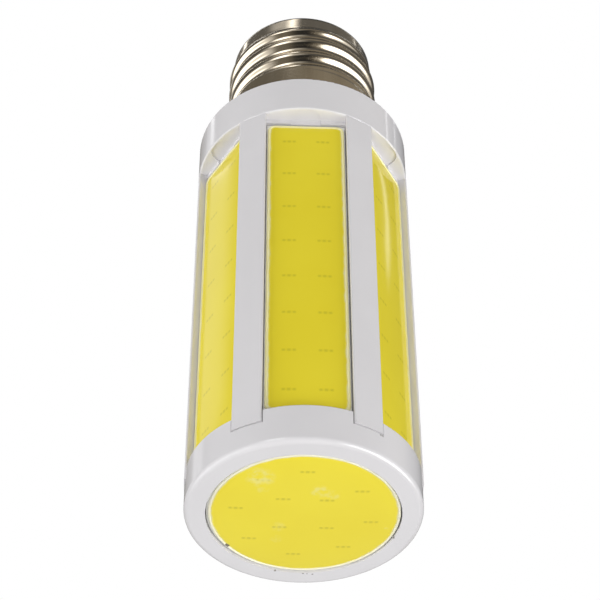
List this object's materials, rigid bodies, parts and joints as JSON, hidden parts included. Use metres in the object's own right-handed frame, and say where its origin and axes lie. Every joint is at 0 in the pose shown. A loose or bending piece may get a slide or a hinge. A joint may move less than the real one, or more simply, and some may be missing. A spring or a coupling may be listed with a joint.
{
  "type": "corn led bulb",
  "caption": "Corn-cob light bulb with upright yellow light strips set between the ribs of a white cage, a round light in its flat end and an E27 screw cap.",
  "frame": {"origin": "centre of the end ring's flat face, on which the bulb stands", "axes": "+Z along the bulb from the flat end up to the cap's contact, -Y towards the first light strip"},
  "size_m": [0.0358, 0.0358, 0.1048],
  "materials": {
    "white_plastic": "glossy white moulding with a faint lilac cast",
    "nickel": "bright nickel plate on pressed sheet, warm grey",
    "black_glass": "smooth black glass",
    "tinned_brass": "tinned contact, slightly dull",
    "board_face": "white solder mask over an aluminium core",
    "bead": "pale translucent silicone bead",
    "gel": "glossy yellow phosphor gel",
    "die": "dies seen through the gel",
    "circuit_board": "green circuit board",
    "film_box": "brick red capacitor case",
    "can_sleeve": "black shrink sleeve",
    "resistor_body": "grey-green lacquer",
    "chip_body": "black moulded chips",
    "red_lead": "red insulation",
    "black_lead": "black insulation",
    "white_lead": "white insulation"
  },
  "bodies": {
    "root": {"bridge_rectifier": "chip_body", "cap_insulator": "black_glass", "centre_contact": "tinned_brass", "chip_resistors": "chip_body", "driver_board": "circuit_board", "end_board": "board_face", "end_dam": "bead", "end_dies": "die", "end_gel": "gel", "end_light_lead": "white_lead", "end_ring": "white_plastic", "film_capacitor": "film_box", "fuse_resistor": "resistor_body", "housing": "white_plastic", "live_lead": "red_lead", "negative_lead": "black_lead", "neutral_lead": "black_lead", "positive_lead": "red_lead", "screw_shell": "nickel", "side_board_1": "board_face", "side_board_2": "board_face", "side_board_3": "board_face", "side_board_4": "board_face", "side_board_5": "board_face", "side_board_6": "board_face", "side_dam_1": "bead", "side_dam_2": "bead", "side_dam_3": "bead", "side_dam_4": "bead", "side_dam_5": "bead", "side_dam_6": "bead", "side_dies_1": "die", "side_dies_2": "die", "side_dies_3": "die", "side_dies_4": "die", "side_dies_5": "die", "side_dies_6": "die", "side_gel_1": "gel", "side_gel_2": "gel", "side_gel_3": "gel", "side_gel_4": "gel", "side_gel_5": "gel", "side_gel_6": "gel", "smoothing_capacitor": "can_sleeve", "strip_links": "white_lead"}
  },
  "joints": []
}
